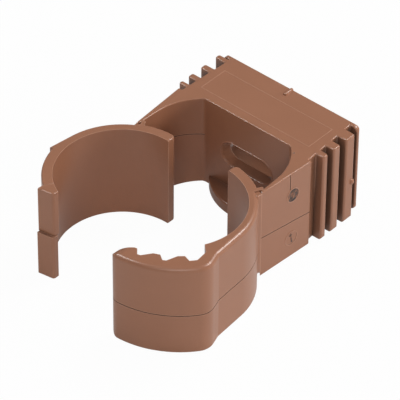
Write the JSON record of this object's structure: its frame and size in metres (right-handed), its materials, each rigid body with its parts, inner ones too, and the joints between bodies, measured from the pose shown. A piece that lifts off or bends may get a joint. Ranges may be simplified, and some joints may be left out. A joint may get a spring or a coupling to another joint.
{
  "type": "pipe clip",
  "caption": "Self-closing plastic pipe clip: a ribbed wall block with a screw slot carries hinged jaws that snap shut round a pipe with a toothed catch.",
  "frame": {"origin": "on the axis of the pipe that the closed jaws hold, level with the clip's lower end face", "axes": "+Z along the pipe, +Y from the pipe to the wall, +X to the side of the ratchet jaw"},
  "size_m": [0.0384, 0.0499, 0.0176],
  "materials": {
    "clip_plastic": "satin moulded polypropylene, copper brown"
  },
  "bodies": {
    "base": {"base": "clip_plastic"},
    "ratchet_jaw": {"ratchet_jaw": "clip_plastic"},
    "latch_jaw": {"latch_jaw": "clip_plastic"}
  },
  "joints": [
    {"name": "ratchet_hinge", "type": "hinge", "parent": "base", "child": "ratchet_jaw", "pos_m": [0.0126, 0.0045, 0.0088], "axis": [0, 0, -1], "range_deg": [-12, 36], "stiffness_Nm_per_rad": 0.005},
    {"name": "latch_hinge", "type": "hinge", "parent": "base", "child": "latch_jaw", "pos_m": [-0.0126, 0.0045, 0.0088], "axis": [0, 0, 1], "range_deg": [-12, 44], "stiffness_Nm_per_rad": 0.005}
  ]
}
